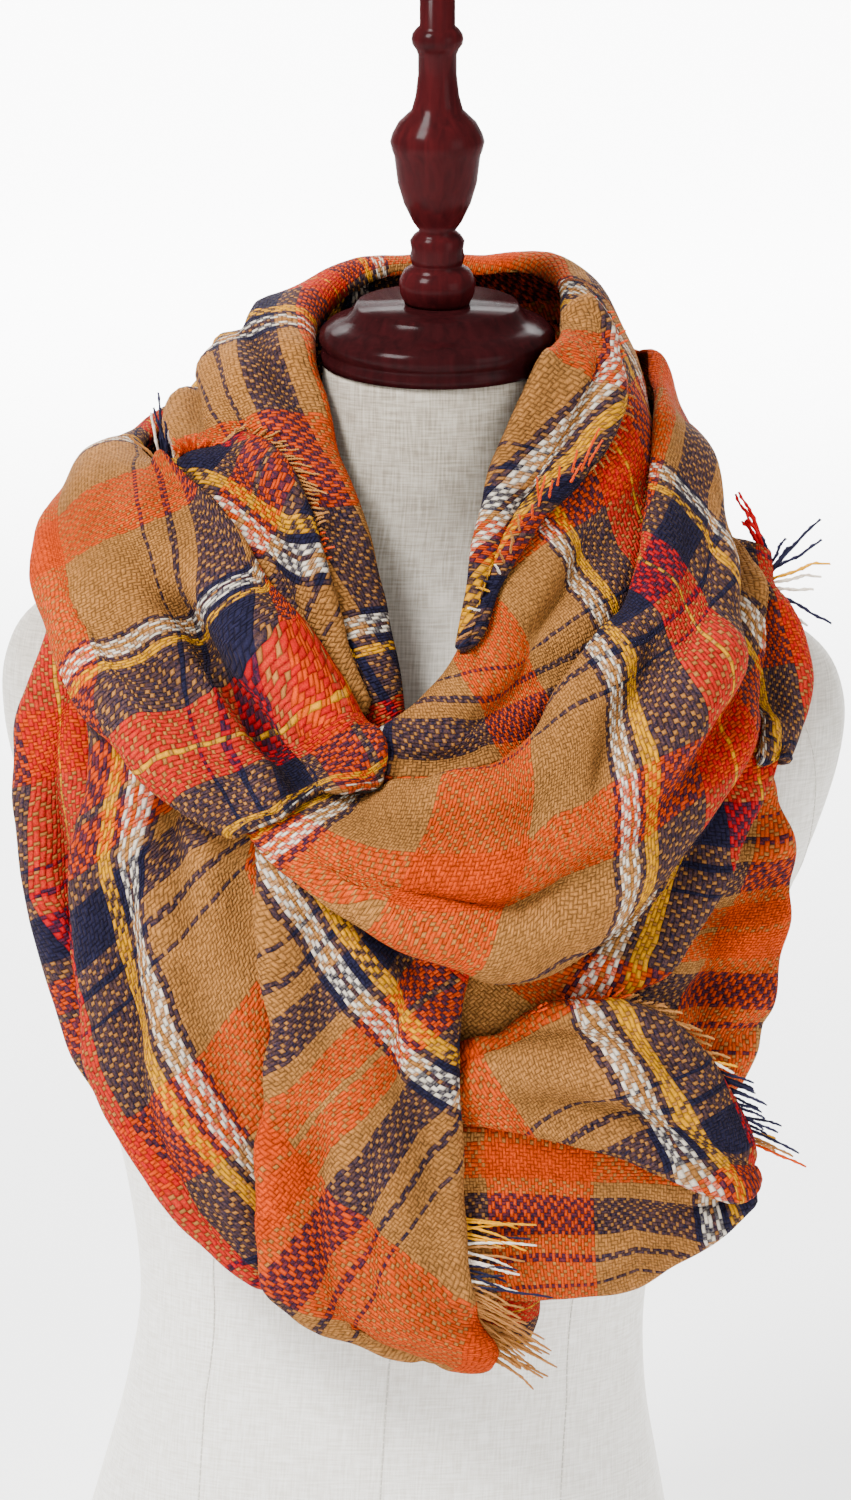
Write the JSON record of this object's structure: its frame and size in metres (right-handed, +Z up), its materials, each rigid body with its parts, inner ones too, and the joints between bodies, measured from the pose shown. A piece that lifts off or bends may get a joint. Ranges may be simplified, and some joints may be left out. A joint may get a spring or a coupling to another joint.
{
  "type": "blanket scarf on dress form",
  "caption": "Large plaid blanket scarf with frayed edges, wound in loops round the neck of a limbless fabric dress form with a turned wooden neck cap and finial",
  "frame": {"origin": "the centre of the dress form's flat underside", "axes": "+Z up, the front faces -Y, +X to the right as seen from the front"},
  "size_m": [0.4212, 0.281, 0.8399],
  "materials": {
    "plaid": "soft brushed plaid weave, matt",
    "fringe": "loose yarn ends, matt",
    "linen": "off-white linen cover, matt",
    "mahogany": "dark red mahogany, glossy varnish"
  },
  "bodies": {
    "root": {"collar": "plaid", "right_inner_band": "plaid", "left_inner_fall": "plaid", "right_inner_fall": "plaid", "right_outer_fold": "plaid", "front_band": "plaid", "back_wrap": "plaid", "left_fold": "plaid", "left_back_drape": "plaid", "left_drape": "plaid", "right_drape": "plaid", "tail_upper": "plaid", "corner_under": "plaid", "corner_flap": "plaid", "center_under": "plaid", "center_drop": "plaid", "fringe_left_tuft": "fringe", "fringe_left_collar": "fringe", "fringe_right_collar": "fringe", "fringe_right_corner": "fringe", "fringe_flap": "fringe", "fringe_center": "fringe", "form_body": "linen", "neck_cap": "mahogany", "finial": "mahogany"}
  },
  "joints": []
}
